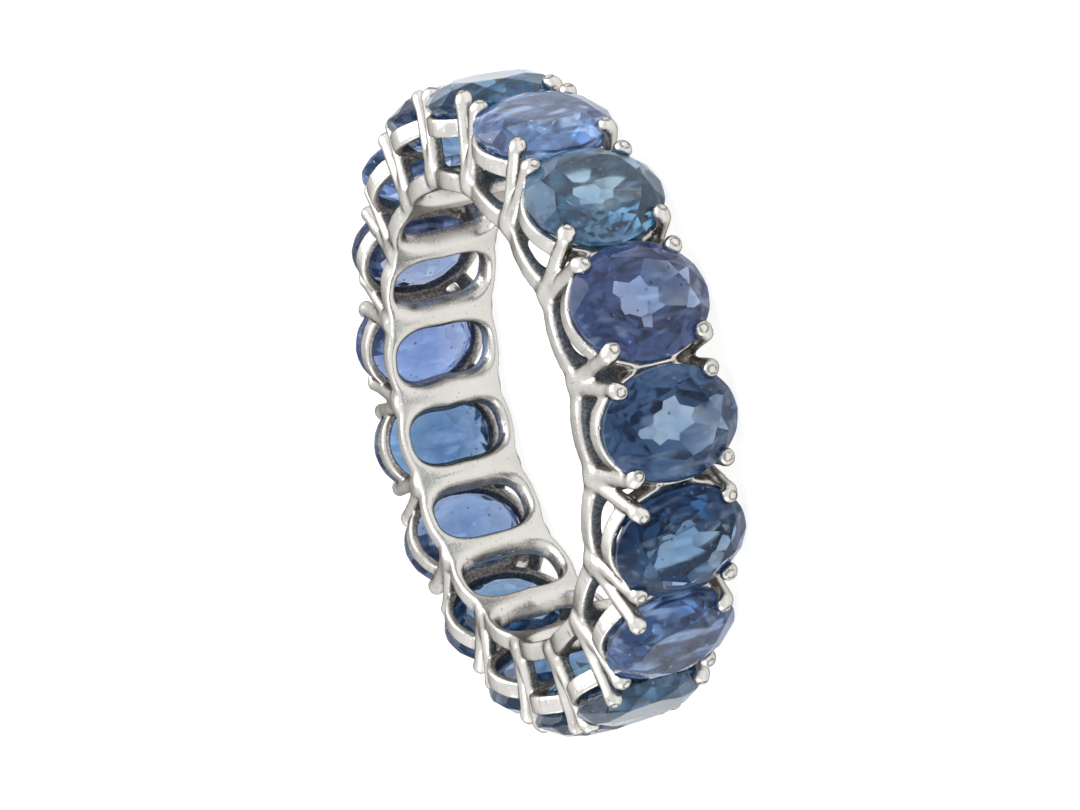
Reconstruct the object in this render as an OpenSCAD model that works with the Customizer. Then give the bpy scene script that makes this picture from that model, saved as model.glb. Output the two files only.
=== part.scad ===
// Eternity ring: a full circle of oval stones, each held by four claws on one soldered setting.
// The ring lies on its side in millimetres, with its finger axis along Z and Z = 0 the surface under it.

/* [Finger hole and band] */
// Diameter of the finger hole
bore_d = 16.5; // [15.6:0.1:17.3]
// Radial thickness of the inner band
band_t = 0.72; // [0.6:0.02:0.9]
// Width of the inner band along the finger axis, at the middle of a lobe
band_w = 4.58; // [4.3:0.02:4.8]
// How far each edge of the band dips between two lobes
band_dip = 0.28; // [0.2:0.02:0.4]

/* [Windows behind the stones] */
// Length of a window along the finger axis
window_l = 3.7; // [3.4:0.05:3.9]
// Width of a window round the band
window_w = 2.35; // [2.1:0.05:2.45]

/* [Stones] */
// Number of stones round the ring, which sets the ring's outer size
stone_count = 17; // [16:1:19]
// Length of a stone along the finger axis
stone_l = 5; // [4.8:0.05:5.2]
// Width of a stone round the ring
stone_w = 4; // [3.8:0.05:4.15]
// Gap between two neighbouring stones at the girdle
stone_gap = 0.22; // [0.16:0.02:0.3]
// Thickness of the girdle
girdle_t = 0.12; // [0.08:0.02:0.2]
// Height of the crown, from the girdle to the table
crown_h = 0.6; // [0.45:0.05:0.75]
// Depth of the pavilion, from the girdle to the keel
pavilion_h = 1.65; // [1.4:0.05:1.8]

/* [Rails under the stones] */
// Height of a rail, measured outwards from the finger axis
rail_h = 0.68; // [0.5:0.02:0.76]
// How far the outside of a rail stays inside the stone's outline
rail_inset = 0.03; // [0:0.01:0.06]
// Drop from the middle of the girdle to the top of the rail
rail_drop = 0.42; // [0.36:0.02:0.48]

/* [Claws] */
// Diameter of a claw's wire
claw_d = 0.54; // [0.46:0.02:0.6]
// Diameter of the bead that ends a claw
bead_d = 0.64; // [0.58:0.02:0.7]
// Height of a bead's centre above the middle of the girdle
bead_rise = 0.2; // [0.12:0.02:0.28]
// Where a claw grips the oval, as the oval's own angle from its width
claw_at = 43; // [38:1:50]
// How far a claw's wire stands outside the stone's outline at the girdle
claw_out = 0.13; // [0.09:0.01:0.17]
// Distance between the two claws of a pair where they leave the band
root_gap = 0.24; // [0.16:0.02:0.32]
// Room between a stone and the metal that holds it
seat_gap = 0.03; // [0.02:0.01:0.05]

/* [Hidden] */
$fn = 64;

// Angles and radii of one sector of the ring
sector = 360 / stone_count;
half_sector = sector / 2;
bore_r = bore_d / 2;
band_r = bore_r + band_t;
girdle_r = (stone_w + stone_gap) / 2 / tan(half_sector);
girdle_top = girdle_t / 2;
rail_top_r = girdle_r - rail_drop;
rail_low_r = rail_top_r - rail_h;

// The widest piece along the finger axis carries the ring when it lies on its side
axis_h = max(stone_l / 2, band_w / 2);

// A lobe's edge is an arc through its middle and its two dips
dip_at = (bore_r + band_t / 2) * tan(half_sector);
lobe_r = (dip_at * dip_at + band_dip * band_dip) / (2 * band_dip);
lobe_offset = lobe_r - band_w / 2;

// The oval's own angle at which its end arcs meet its side arcs
arcs_meet = 45;

// A claw's tip, knee and root: out from the axis, round the ring, along the axis
half_w = stone_w / 2;
half_l = stone_l / 2;
grip = [half_w * cos(claw_at), half_l * sin(claw_at)];
grip_turn = atan2(grip[1] / (half_l * half_l), grip[0] / (half_w * half_w));
grip_out = [cos(grip_turn), sin(grip_turn)];
root_r = bore_r - claw_d / 2;
claw_tip = concat(girdle_r + bead_rise, grip + grip_out * (seat_gap + claw_out / 4));
claw_knee = concat(girdle_r - girdle_top, grip + grip_out * claw_out);
claw_root = [root_r, root_r * tan(half_sector) - root_gap / 2, band_w / 2 - band_dip - claw_d / 4];

// The cut: shares of the stone's outline at the table, the star facets and the keel
table_share = 0.6;
star_share = 0.82;
keel_share = 0.14;
main_facets = 8;
girdle_sides = 4 * main_facets;
step_sides = 2 * main_facets;

// The star facets' outer corners lie in the planes of the kite facets between them
star_lift = (1 - star_share * cos(180 / main_facets)) / (1 - table_share);

// The pavilion's steps: share of the depth, share of the outline
pavilion = [
    [0, 1],
    [0.26, 0.8],
    [0.62, 0.52],
    [0.88, 0.26]
];

// The rail's opening follows the pavilion at the rail's top
seat_share = lookup((rail_drop - girdle_top) / pavilion_h, pavilion);

// Stone colours, repeated in this order round the ring
TEAL = [0.10, 0.24, 0.38];
DEEP = [0.08, 0.17, 0.42];
VIOLET = [0.22, 0.26, 0.55];
STEEL = [0.27, 0.38, 0.62];
stone_hues = [
    DEEP, VIOLET, TEAL, STEEL, TEAL, DEEP, TEAL, STEEL, VIOLET,
    STEEL, STEEL, DEEP, DEEP, TEAL, TEAL, STEEL, DEEP
];
metal_hue = [0.86, 0.85, 0.82];

function stone_name(i) = str("stone_", i < 10 ? "0" : "", i);

// A ring of points on an oval: share of the stone's outline, height, number of points, turn of the first
function oval_ring(share, height, count, turn = 0) = [
    for (k = [0:count - 1])
        let (a = 360 * k / count + turn)
        [share * half_w * cos(a), share * half_l * sin(a), height]
];

// Triangles that join two rings of the same count, the first lying under the second
function band_faces(low, high, count) = [
    for (k = [0:count - 1])
        let (next = (k + 1) % count)
        each [[low + k, high + k, high + next], [low + k, high + next, low + next]]
];

// Sets its children in sector i, with X outwards, Y round the ring and Z along the finger axis
module in_sector(i) {
    translate([0, 0, axis_h])
        rotate([0, 0, (i - 1) * sector])
        children();
}

// Turns a drawing in X and Y into a solid that stands outwards from the axis, from radius a to b
module outwards(a, b) {
    translate([a, 0, 0])
        rotate([90, 0, 90])
        linear_extrude(b - a)
        children();
}

// An oval of four arcs, two round its ends and two along its sides, that meet where an ellipse would pass
module oval(w, l) {
    x = w / 2 * cos(arcs_meet);
    y = l / 2 * sin(arcs_meet);
    side_r = (pow(w / 2 - x, 2) + y * y) / (w - 2 * x);
    end_r = (pow(l / 2 - y, 2) + x * x) / (l - 2 * y);
    for (end = [-1, 1])
        translate([0, end * (l / 2 - end_r)])
        circle(r = end_r);
    intersection() {
        square([w, 2 * y], center = true);
        intersection_for(side = [-1, 1])
            translate([side * (side_r - w / 2), 0])
            circle(r = side_r);
    }
}

// The outline of one lobe of the band: two wide arcs that meet at its sides
module lobe_outline() {
    intersection_for(side = [-1, 1])
        translate([0, side * lobe_offset])
        circle(r = lobe_r);
}

// The inner band with lobed edges and one window behind each stone
module band() {
    difference() {
        intersection() {
            translate([0, 0, axis_h - band_w])
                cylinder(h = 2 * band_w, r = band_r);
            union() {
                for (i = [1:stone_count])
                    in_sector(i)
                        outwards(bore_r - band_t, band_r + band_t)
                        lobe_outline();
            }
        }
        for (i = [1:stone_count])
            in_sector(i)
                outwards(bore_r - 2 * band_t, band_r + 2 * band_t)
                oval(window_w, window_l);
    }
}

// The flat oval strip that the stone rests over
module rail() {
    outwards(rail_low_r, rail_top_r)
        difference() {
            oval(stone_w - 2 * rail_inset, stone_l - 2 * rail_inset);
            oval(stone_w * seat_share + 2 * seat_gap, stone_l * seat_share + 2 * seat_gap);
        }
}

// A round rod from point a to point b
module rod(a, b, d) {
    v = b - a;
    translate(a)
        rotate([0, acos(v[2] / norm(v)), atan2(v[1], v[0])])
        cylinder(h = norm(v), d = d);
}

// One claw, with the notch that the stone's edge sits in
module claw() {
    difference() {
        union() {
            rod(claw_root, claw_knee, claw_d);
            translate(claw_knee)
                sphere(d = claw_d + seat_gap);
            translate(claw_tip)
                sphere(d = bead_d);
        }
        notch();
    }
}

// The room that the stone's edge takes out of a claw: its section, drawn out along the edge
module notch() {
    reach = bead_d + claw_d;
    slope_up = crown_h * star_lift / (1 - star_share) / half_w;
    slope_down = pavilion_h * pavilion[1][0] / (1 - pavilion[1][1]) / half_w;
    edge = girdle_top + seat_gap;
    translate([girdle_r, grip[0], grip[1]])
        rotate([grip_turn, 0, 0])
        translate([0, 0, -reach / 2])
        linear_extrude(reach)
        polygon([
            [-edge - reach * slope_down, seat_gap - reach],
            [-edge, seat_gap],
            [edge, seat_gap],
            [edge + reach * slope_up, seat_gap - reach]
        ]);
}

// A rail with its four claws
module head() {
    rail();
    for (side = [0, 1])
        for (end = [0, 1])
            mirror([0, side, 0])
            mirror([0, 0, end])
            claw();
}

module setting() {
    color(metal_hue)
        difference() {
            union() {
                band();
                for (i = [1:stone_count])
                    in_sector(i)
                        head();
            }
            cylinder(h = 2 * axis_h, r = bore_r);
        }
}

// Where each ring of a cut stone's corners starts in its list of points
at_stars = main_facets;
at_upper = at_stars + main_facets;
at_lower = at_upper + girdle_sides;
at_steps = at_lower + girdle_sides;
at_keel = at_steps + (len(pavilion) - 1) * step_sides;

// The corners of a cut stone, ring by ring from the table to the keel
function stone_points() = concat(
    oval_ring(table_share, girdle_top + crown_h, main_facets),
    oval_ring(star_share, girdle_top + crown_h * star_lift, main_facets, 180 / main_facets),
    oval_ring(1, girdle_top, girdle_sides),
    oval_ring(1, -girdle_top, girdle_sides),
    [
        for (step = [1:len(pavilion) - 1])
            each oval_ring(pavilion[step][1], -girdle_top - pavilion_h * pavilion[step][0], step_sides)
    ],
    [for (end = [1, -1]) [0, end * keel_share * half_l, -girdle_top - pavilion_h]]
);

// The table, and for each main facet a star, a kite and the edge facets between two kites
function crown_faces() = concat(
    [[for (k = [main_facets - 1:-1:0]) k]],
    [
        for (k = [0:main_facets - 1])
            let (next = (k + 1) % main_facets, last = (k + main_facets - 1) % main_facets)
            each [
                [k, next, at_stars + k],
                [k, at_stars + k, at_upper + 4 * k, at_stars + last]
            ]
    ],
    [
        for (k = [0:girdle_sides - 1])
            let (next = (k + 1) % girdle_sides)
            [at_stars + floor(k / 4), at_upper + next, at_upper + k]
    ]
);

// The facets under the girdle: each side of the first step meets two sides of the girdle
function pavilion_faces() = concat(
    [
        for (k = [0:step_sides - 1])
            let (
                step = at_steps + k,
                next_step = at_steps + (k + 1) % step_sides,
                edge = at_lower + 2 * k,
                next_edge = at_lower + (2 * k + 2) % girdle_sides
            )
            each [
                [step, edge, edge + 1],
                [step, edge + 1, next_step],
                [next_step, edge + 1, next_edge]
            ]
    ],
    [
        for (step = [1:len(pavilion) - 2])
            each band_faces(at_steps + step * step_sides, at_steps + (step - 1) * step_sides, step_sides)
    ]
);

// The last facets run to the keel, half of the stone to each of its ends
function keel_faces() =
    let (
        last = at_keel - step_sides,
        half = step_sides / 2
    )
    concat(
        [
            for (k = [0:step_sides - 1])
                [at_keel + floor(k / half), last + k, last + (k + 1) % step_sides]
        ],
        [
            [at_keel + 1, last, at_keel],
            [at_keel, last + half, at_keel + 1]
        ]
    );

// A cut stone that lies flat, its table up and the middle of its girdle at the origin
module cut_stone() {
    polyhedron(
        points = stone_points(),
        faces = concat(
            crown_faces(),
            band_faces(at_lower, at_upper, girdle_sides),
            pavilion_faces(),
            keel_faces()
        )
    );
}

module stone(i) {
    color(stone_hues[(i - 1) % len(stone_hues)])
        in_sector(i)
        translate([girdle_r, 0, 0])
        rotate([90, 0, 90])
        cut_stone();
}

setting();
for (i = [1:stone_count])
    stone(i);
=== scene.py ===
"""Eternity ring of oval blue stones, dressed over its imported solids.

The ring lies on its side. Its finger axis is +Z, and Z = 0 is the surface under it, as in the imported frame.
Lengths in the classes are millimetres, as a jeweller gives them, and each mesh is turned into metres once,
as it is made. A head is one stone's rail and four claws, and a sector is one stone's share of the ring.
"""

import logging
import math
from dataclasses import dataclass, field
from enum import Enum
from itertools import product
from typing import NamedTuple

import bmesh
import bpy
import numpy as np
from mathutils import Matrix, Vector

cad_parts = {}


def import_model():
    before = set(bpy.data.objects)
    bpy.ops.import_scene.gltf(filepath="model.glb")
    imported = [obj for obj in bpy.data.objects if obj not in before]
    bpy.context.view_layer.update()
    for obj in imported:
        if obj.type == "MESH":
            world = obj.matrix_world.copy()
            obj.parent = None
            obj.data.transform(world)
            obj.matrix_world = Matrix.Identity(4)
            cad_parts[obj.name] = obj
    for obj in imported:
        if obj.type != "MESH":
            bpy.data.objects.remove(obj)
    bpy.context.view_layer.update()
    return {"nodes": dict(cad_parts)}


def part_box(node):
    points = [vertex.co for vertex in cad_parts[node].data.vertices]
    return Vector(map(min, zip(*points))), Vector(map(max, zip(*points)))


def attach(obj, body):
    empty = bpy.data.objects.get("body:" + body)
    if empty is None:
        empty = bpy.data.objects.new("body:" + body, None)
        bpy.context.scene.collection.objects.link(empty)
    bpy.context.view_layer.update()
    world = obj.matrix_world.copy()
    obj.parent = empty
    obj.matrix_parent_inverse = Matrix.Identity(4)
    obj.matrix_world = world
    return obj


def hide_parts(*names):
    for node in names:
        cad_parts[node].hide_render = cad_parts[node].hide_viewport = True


MM = 0.001
TINY = 1e-9
BODY = "root"
LOG = logging.getLogger("eternity_ring")

Pair = tuple[float, float]
Triple = tuple[float, float, float]
Socket = bpy.types.NodeSocket
Value = Socket | float | tuple[float, ...]


class Hue(Enum):
    """The four blues of the stones; each value starts the names of its stones' materials."""

    TEAL = "sapphire_teal"
    DEEP = "sapphire_deep"
    VIOLET = "sapphire_violet"
    STEEL = "sapphire_steel"


class Pavilion(Enum):
    """How the underside of a stone is cut."""

    BRILLIANT = "brilliant"
    STEPPED = "stepped"
    SCISSOR = "scissor"


def smooth_union(a: np.ndarray, b: np.ndarray, blend: float) -> np.ndarray:
    """Joins two distance fields with a fillet, as solder does.

    Args:
        a: Distance to the first form.
        b: Distance to the second form.
        blend: Reach of the fillet.

    Returns:
        Distance to both forms and the fillet between them.
    """
    share = np.maximum(blend - np.abs(a - b), 0) / blend
    return np.minimum(a, b) - share * share * blend / 4


def smooth_overlap(a: np.ndarray, b: np.ndarray, blend: float) -> np.ndarray:
    """Keeps what two distance fields share, with the edge between them rounded.

    Args:
        a: Distance to the first form.
        b: Distance to the second form.
        blend: Reach of the rounding.

    Returns:
        Distance to the part that both forms hold.
    """
    return -smooth_union(-a, -b, blend)


def oval_distance(
    across: np.ndarray, along: np.ndarray, half_w: float, half_l: float, power: float = 2.0
) -> np.ndarray:
    """Distance to an oval's edge, true near the edge.

    Args:
        across: Places across the oval.
        along: Places along the oval.
        half_w: Half of the oval's width.
        half_l: Half of the oval's length.
        power: 2 for an ellipse, more for an oval with fuller shoulders.

    Returns:
        Distance, less than 0 inside the oval.
    """
    least_share, least_slope = 1e-3, 0.1 / half_l
    x, y = np.abs(across) / half_w, np.abs(along) / half_l
    share = np.maximum((x**power + y**power) ** (1 / power), least_share)
    slope_x = (x / share) ** (power - 1) / half_w
    slope_y = (y / share) ** (power - 1) / half_l
    return (share - 1) / np.maximum(np.hypot(slope_x, slope_y), least_slope)


def new_object(name: str, data: bpy.types.ID) -> bpy.types.Object:
    """Makes an object and links it to the scene.

    Args:
        name: The object's name.
        data: Its mesh, camera or light.

    Returns:
        The object.
    """
    made = bpy.data.objects.new(name, data)
    bpy.context.scene.collection.objects.link(made)
    return made


def mesh_object(name: str, points: np.ndarray, faces: np.ndarray) -> bpy.types.Object:
    """Makes an object from corners and faces.

    Args:
        name: The object's name.
        points: Corners, one row each.
        faces: Faces, one row of corner numbers each.

    Returns:
        The object, linked to the scene.
    """
    mesh = bpy.data.meshes.new(name)
    mesh.from_pydata(points.tolist(), [], faces.tolist())
    mesh.update()
    return new_object(name, mesh)


@dataclass(frozen=True)
class Tier:
    """One round of facets on a stone's underside, by how far out and how deep they lie, as shares."""

    sides: int
    shift: float
    outer: Pair
    inner: Pair

    @property
    def grade(self) -> float:
        """Share of the depth that the facets gain for each share of the width."""
        return (self.inner[1] - self.outer[1]) / (self.outer[0] - self.inner[0])


TIERS = {
    Pavilion.BRILLIANT: (
        Tier(16, 0.5, (1.0, 0.0), (0.85, 0.32)),
        Tier(8, 0.0, (0.91, 0.22), (0.34, 0.86)),
        Tier(8, 0.5, (0.42, 0.80), (0.18, 0.95)),
        Tier(7, 0.25, (0.26, 0.925), (0.0, 1.0)),
    ),
    Pavilion.STEPPED: (
        Tier(16, 0.0, (1.0, 0.0), (0.87, 0.32)),
        Tier(16, 0.0, (0.87, 0.32), (0.68, 0.64)),
        Tier(12, 0.3, (0.68, 0.64), (0.34, 0.89)),
        Tier(8, 0.0, (0.36, 0.88), (0.14, 0.965)),
        Tier(6, 0.4, (0.2, 0.945), (0.0, 1.0)),
    ),
    Pavilion.SCISSOR: (
        Tier(12, 0.0, (1.0, 0.0), (0.86, 0.33)),
        Tier(12, 0.5, (0.89, 0.26), (0.64, 0.68)),
        Tier(8, 0.0, (0.68, 0.62), (0.30, 0.91)),
        Tier(8, 0.5, (0.36, 0.87), (0.15, 0.96)),
        Tier(6, 0.2, (0.22, 0.94), (0.0, 1.0)),
    ),
}


@dataclass(frozen=True)
class StoneCut:
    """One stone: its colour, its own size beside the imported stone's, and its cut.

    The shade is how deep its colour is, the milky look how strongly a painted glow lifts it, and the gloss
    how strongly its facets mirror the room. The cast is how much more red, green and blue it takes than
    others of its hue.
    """

    hue: Hue
    pavilion: Pavilion
    width_share: float = 1.0
    length_share: float = 0.985
    table_share: float = 0.6
    shade: float = 1.0
    milk_glow: float = 1.0
    gloss: float = 0.3
    cast: Triple = (1.0, 1.0, 1.0)


# In the order of StoneCut's fields, round the ring from stone 01
STONES = (
    StoneCut(Hue.DEEP, Pavilion.BRILLIANT, 0.965, 0.98, 0.62, 0.88, 0.7, 0.16, (0.92, 0.98, 1.0)),
    StoneCut(Hue.VIOLET, Pavilion.BRILLIANT, 1.03, 0.985, 0.64, 0.98, 1.0, 0.38, (1.05, 1.0, 1.16)),
    StoneCut(Hue.TEAL, Pavilion.BRILLIANT, 1.035, 0.98, 0.66, 0.77, 0.9, 0.55, (0.98, 1.02, 1.0)),
    StoneCut(Hue.STEEL, Pavilion.STEPPED, 1.0, 0.98, 0.58, 0.98, 2.7, 0.75, (1.0, 1.0, 1.3)),
    StoneCut(Hue.TEAL, Pavilion.BRILLIANT, 0.99, 0.975, 0.6, 0.8, 1.0, 0.35, (1.1, 0.95, 0.8)),
    StoneCut(Hue.DEEP, Pavilion.STEPPED, 1.0, 0.985, 0.62, 0.8),
    StoneCut(Hue.TEAL, Pavilion.BRILLIANT, 1.01, 0.98, 0.6, 0.5, cast=(0.9, 1.0, 0.62)),
    StoneCut(Hue.STEEL, Pavilion.SCISSOR, 0.99, 0.975, 0.58, 1.1, cast=(0.87, 1.03, 1.4)),
    StoneCut(Hue.VIOLET, Pavilion.STEPPED, 1.0, 0.985, 0.62, 1.0, cast=(1.03, 0.96, 0.95)),
    StoneCut(Hue.STEEL, Pavilion.BRILLIANT, 1.01, 0.98, 0.6, 1.65, cast=(1.1, 1.1, 1.4)),
    StoneCut(Hue.STEEL, Pavilion.STEPPED, 0.99, 0.985, 0.61, 1.3, cast=(1.0, 1.08, 1.35)),
    StoneCut(Hue.DEEP, Pavilion.SCISSOR, 1.0, 0.975, 0.59, 1.0),
    StoneCut(Hue.DEEP, Pavilion.BRILLIANT, 1.01, 0.98, 0.62, 1.0),
    StoneCut(Hue.TEAL, Pavilion.STEPPED, 1.0, 0.985, 0.6, 1.0),
    StoneCut(Hue.TEAL, Pavilion.BRILLIANT, 1.01, 0.97, 0.6, 1.1),
    StoneCut(Hue.STEEL, Pavilion.SCISSOR, 1.0, 0.965, 0.6, 1.2, 1.8, 0.3, (1.0, 1.0, 1.3)),
    StoneCut(Hue.DEEP, Pavilion.STEPPED, 0.995, 0.965, 0.62, 1.05, 0.8, 0.1),
)


@dataclass(frozen=True)
class RingSizes:
    """The ring's sizes in millimetres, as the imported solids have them."""

    count: int
    stone_w: float
    stone_l: float
    bore_r: float = 8.25
    band_t: float = 0.72
    band_w: float = 4.58
    band_dip: float = 0.28
    window_l: float = 3.7
    window_w: float = 2.35
    stone_gap: float = 0.22
    girdle_t: float = 0.12
    crown_h: float = 0.6
    pavilion_h: float = 1.65
    rail_h: float = 0.68
    rail_drop: float = 0.42
    claw_d: float = 0.54
    bead_d: float = 0.64
    bead_rise: float = 0.2
    claw_at: float = 43.0
    claw_out: float = 0.13
    root_gap: float = 0.24

    @property
    def sector(self) -> float:
        """Angle of one stone's share of the ring, in radians."""
        return 2 * math.pi / self.count

    @property
    def girdle_r(self) -> float:
        """Radius of the middle of each girdle from the finger axis."""
        return (self.stone_w + self.stone_gap) / 2 / math.tan(self.sector / 2)

    @property
    def axis_h(self) -> float:
        """Height of the ring's middle plane over the surface."""
        return max(self.stone_l, self.band_w) / 2

    def halves(self, stone: StoneCut) -> Pair:
        """Half of a stone's own width and length."""
        return self.stone_w * stone.width_share / 2, self.stone_l * stone.length_share / 2

    @classmethod
    def from_frame(cls, nodes: dict[str, bpy.types.Object]) -> "RingSizes":
        """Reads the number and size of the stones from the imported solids.

        Args:
            nodes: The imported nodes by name.

        Returns:
            The ring's sizes.
        """
        low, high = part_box("stone_01")
        size = (high - low) / MM
        return cls(count=sum(name.startswith("stone_") for name in nodes), stone_w=size.y, stone_l=size.z)


@dataclass
class Waver:
    """The slow unevenness that files and polishing leave on cast metal: waves in many directions."""

    amplitude: float
    shortest: float
    longest: float
    count: int
    seed: int

    def __post_init__(self) -> None:
        """Draws the waves."""
        rng = np.random.default_rng(self.seed)
        ways = rng.normal(size=(self.count, 3))
        ways /= np.linalg.norm(ways, axis=1)[:, None]
        self.waves = ways * (2 * np.pi / rng.uniform(self.shortest, self.longest, self.count))[:, None]
        self.phases = rng.uniform(0, 2 * np.pi, self.count)
        self.height = self.amplitude / math.sqrt(self.count)

    def at(self, points: np.ndarray) -> tuple[np.ndarray, np.ndarray]:
        """Height of the surface and its slope.

        Args:
            points: Places on the metal, one row each.

        Returns:
            The heights and the slopes along X, Y and Z.
        """
        turn = points @ self.waves.T + self.phases
        return self.height * np.sin(turn).sum(1), self.height * np.cos(turn) @ self.waves


class CastingField:
    """Distance to the metal on a grid that runs round the finger axis, from which its skin is drawn."""

    FAR = 9.0  # stands for a distance to nothing
    TOUCH = 0.002  # depth of a filled point inside the metal
    MARGIN = 0.16  # room between the metal and the grid's end
    REACH = 0.78  # share of a sector that a head's layers reach each way
    EVEN_AT = 0.9  # share of the outer radius at which the grid's cells are even
    LEAST_GRADE = 0.2  # keeps the moves onto the skin short
    LOOKS = 26  # directions of view
    LOOK_STEPS = (0.2, 0.45, 0.8, 1.3, 2.0)  # distances of view
    LOOK_FROM = 0.04  # height over the skin at which a view starts
    LOOK_WIDTH = 0.45  # width of a view as a share of its distance

    def __init__(self, sizes: RingSizes, step: float, outer_r: float, half_h: float) -> None:
        """Lays the grid out.

        Args:
            sizes: The ring's sizes.
            step: Distance between grid points, at most.
            outer_r: Radius that the metal reaches.
            half_h: Half of the metal's height.
        """
        self.sizes = sizes
        self.per_sector = math.ceil(sizes.sector * outer_r * self.EVEN_AT / step / 2) * 2
        self.turn_step = sizes.sector / self.per_sector
        low_r, high_r, top = sizes.bore_r - self.MARGIN, outer_r + self.MARGIN, half_h + self.MARGIN
        self.radii = np.linspace(low_r, high_r, math.ceil((high_r - low_r) / step) + 1, dtype=np.float32)
        self.heights = np.linspace(-top, top, math.ceil(2 * top / step) + 1, dtype=np.float32)
        self.out_step, self.up_step = self.radii[1] - self.radii[0], self.heights[1] - self.heights[0]
        shape = (self.per_sector * sizes.count, len(self.radii), len(self.heights))
        self.values = np.full(shape, self.FAR, np.float32)
        self.stones = np.full(shape, self.FAR, np.float32)
        self.reach = int(self.per_sector * self.REACH)
        turns = (np.arange(-self.reach, self.reach + 1) * self.turn_step).astype(np.float32)[:, None, None]
        self.out = self.radii[None, :, None] * np.cos(turns)
        self.round = self.radii[None, :, None] * np.sin(turns)
        self.along = self.heights[None, None, :]

    def layers(self, head: int) -> np.ndarray:
        """Numbers of the grid's layers round one head."""
        return (np.arange(-self.reach, self.reach + 1) + head * self.per_sector) % len(self.values)

    def join(self, head: int, form: np.ndarray, blend: float) -> None:
        """Solders a form on at one head."""
        at = self.layers(head)
        self.values[at] = smooth_union(self.values[at], form, blend)

    def carve(self, head: int, form: np.ndarray, blend: float) -> None:
        """Takes a form away at one head."""
        at = self.layers(head)
        self.values[at] = smooth_overlap(self.values[at], -form, blend)

    def set_stone(self, head: int, form: np.ndarray, gap: float, blend: float) -> None:
        """Makes room for a stone at one head, and notes the stone as something that shades the metal.

        Args:
            head: Number of the stone.
            form: Distance to the stone.
            gap: Room between stone and metal.
            blend: Rounding of the seat's edges.
        """
        self.carve(head, form - gap, blend)
        at = self.layers(head)
        self.stones[at] = np.minimum(self.stones[at], form)

    def openness(self, points: np.ndarray, faces: np.ndarray) -> np.ndarray:
        """How much of the room the metal sees from each place, past its own walls and the stones.

        Args:
            points: Places on the metal.
            faces: The directions that it faces there.

        Returns:
            A share for each place, 1 where nothing is in the way.
        """
        cover = np.minimum(self.values, self.stones)
        size = np.array(cover.shape)
        seen, weights = np.zeros(len(points)), np.zeros(len(points))
        golden = math.pi * (3 - math.sqrt(5))
        for number in range(self.LOOKS):
            up = 1 - (2 * number + 1) / self.LOOKS
            turn, flat = number * golden, math.sqrt(1 - up * up)
            way = np.array([flat * math.cos(turn), flat * math.sin(turn), up])
            weight = np.maximum(faces @ way, 0)
            clear = np.ones(len(points))
            for far in self.LOOK_STEPS:
                at = np.rint(self.grid_places(points + way * far + faces * self.LOOK_FROM)).astype(int)
                inside = ((at[:, 1:] >= 0) & (at[:, 1:] < size[1:])).all(1)
                at[:, 1:] = np.clip(at[:, 1:], 0, size[1:] - 1)
                found = cover[at[:, 0] % size[0], at[:, 1], at[:, 2]]
                share = np.clip(found / (far * self.LOOK_WIDTH), 0, 1)
                clear = np.minimum(clear, np.where(inside, share, 1))
            seen += weight * clear
            weights += weight
        return seen / weights

    def grid_places(self, points: np.ndarray) -> np.ndarray:
        """Turns places in millimetres into places counted in grid steps.

        Args:
            points: Places in millimetres.

        Returns:
            The same places, counted round the ring, outwards and along the axis.
        """
        turn = np.arctan2(points[:, 1], points[:, 0]) / self.turn_step
        out = (np.hypot(points[:, 0], points[:, 1]) - self.radii[0]) / self.out_step
        up = (points[:, 2] - self.heights[0]) / self.up_step
        return np.stack([turn, out, up], axis=1)

    def real_places(self, grid: np.ndarray) -> np.ndarray:
        """Turns places counted in grid steps into places in millimetres.

        Args:
            grid: Places counted in grid steps.

        Returns:
            The same places in millimetres.
        """
        turn = grid[:, 0] * self.turn_step
        out = self.radii[0] + grid[:, 1] * self.out_step
        up = self.heights[0] + grid[:, 2] * self.up_step
        return np.stack([out * np.cos(turn), out * np.sin(turn), up], axis=1)

    def read(self, tables: list[np.ndarray], grid: np.ndarray) -> list[np.ndarray]:
        """Reads tables laid out like the grid between its points.

        Args:
            tables: The tables.
            grid: Places counted in grid steps.

        Returns:
            One list of values for each table.
        """
        low = np.floor(grid).astype(int)
        low[:, 1:] = np.clip(low[:, 1:], 0, np.array(self.values.shape[1:]) - 2)
        part = np.clip(grid - low, 0, 1)
        found = [np.zeros(len(grid)) for _ in tables]
        for corner in product((0, 1), repeat=3):
            at = low + corner
            weight = np.prod(np.where(corner, part, 1 - part), axis=1)
            flat = (at[:, 0] % self.values.shape[0], at[:, 1], at[:, 2])
            for total, table in zip(found, tables):
                total += weight * table[flat]
        return found

    def part_sheets(self) -> int:
        """Fills the pinches, as solder does: the grid points where two sheets of skin would share an edge.

        Returns:
            Number of points filled.
        """
        filled, pinched = 0, True
        while pinched:
            pinched = False
            for axes in ((0, 1), (0, 2), (1, 2)):
                steps = np.eye(3, dtype=int)[list(axes)]
                inside = self.values < 0
                beside, above = (np.roll(inside, -1, axis) for axis in axes)
                across = np.roll(beside, -1, axes[1])
                for place in np.argwhere((inside == across) & (beside == above) & (inside != beside)):
                    around = [place + i * steps[0] + j * steps[1] for i, j in product((0, 1), repeat=2)]
                    corners = [tuple(corner % self.values.shape) for corner in around]
                    outside = [corner for corner in corners if self.values[corner] >= 0]
                    if len(outside) == 2 and self.values[corners[0]] * self.values[corners[3]] >= 0:
                        self.values[min(outside, key=lambda corner: self.values[corner])] = -self.TOUCH
                        filled, pinched = filled + 1, True
        return filled

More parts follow.
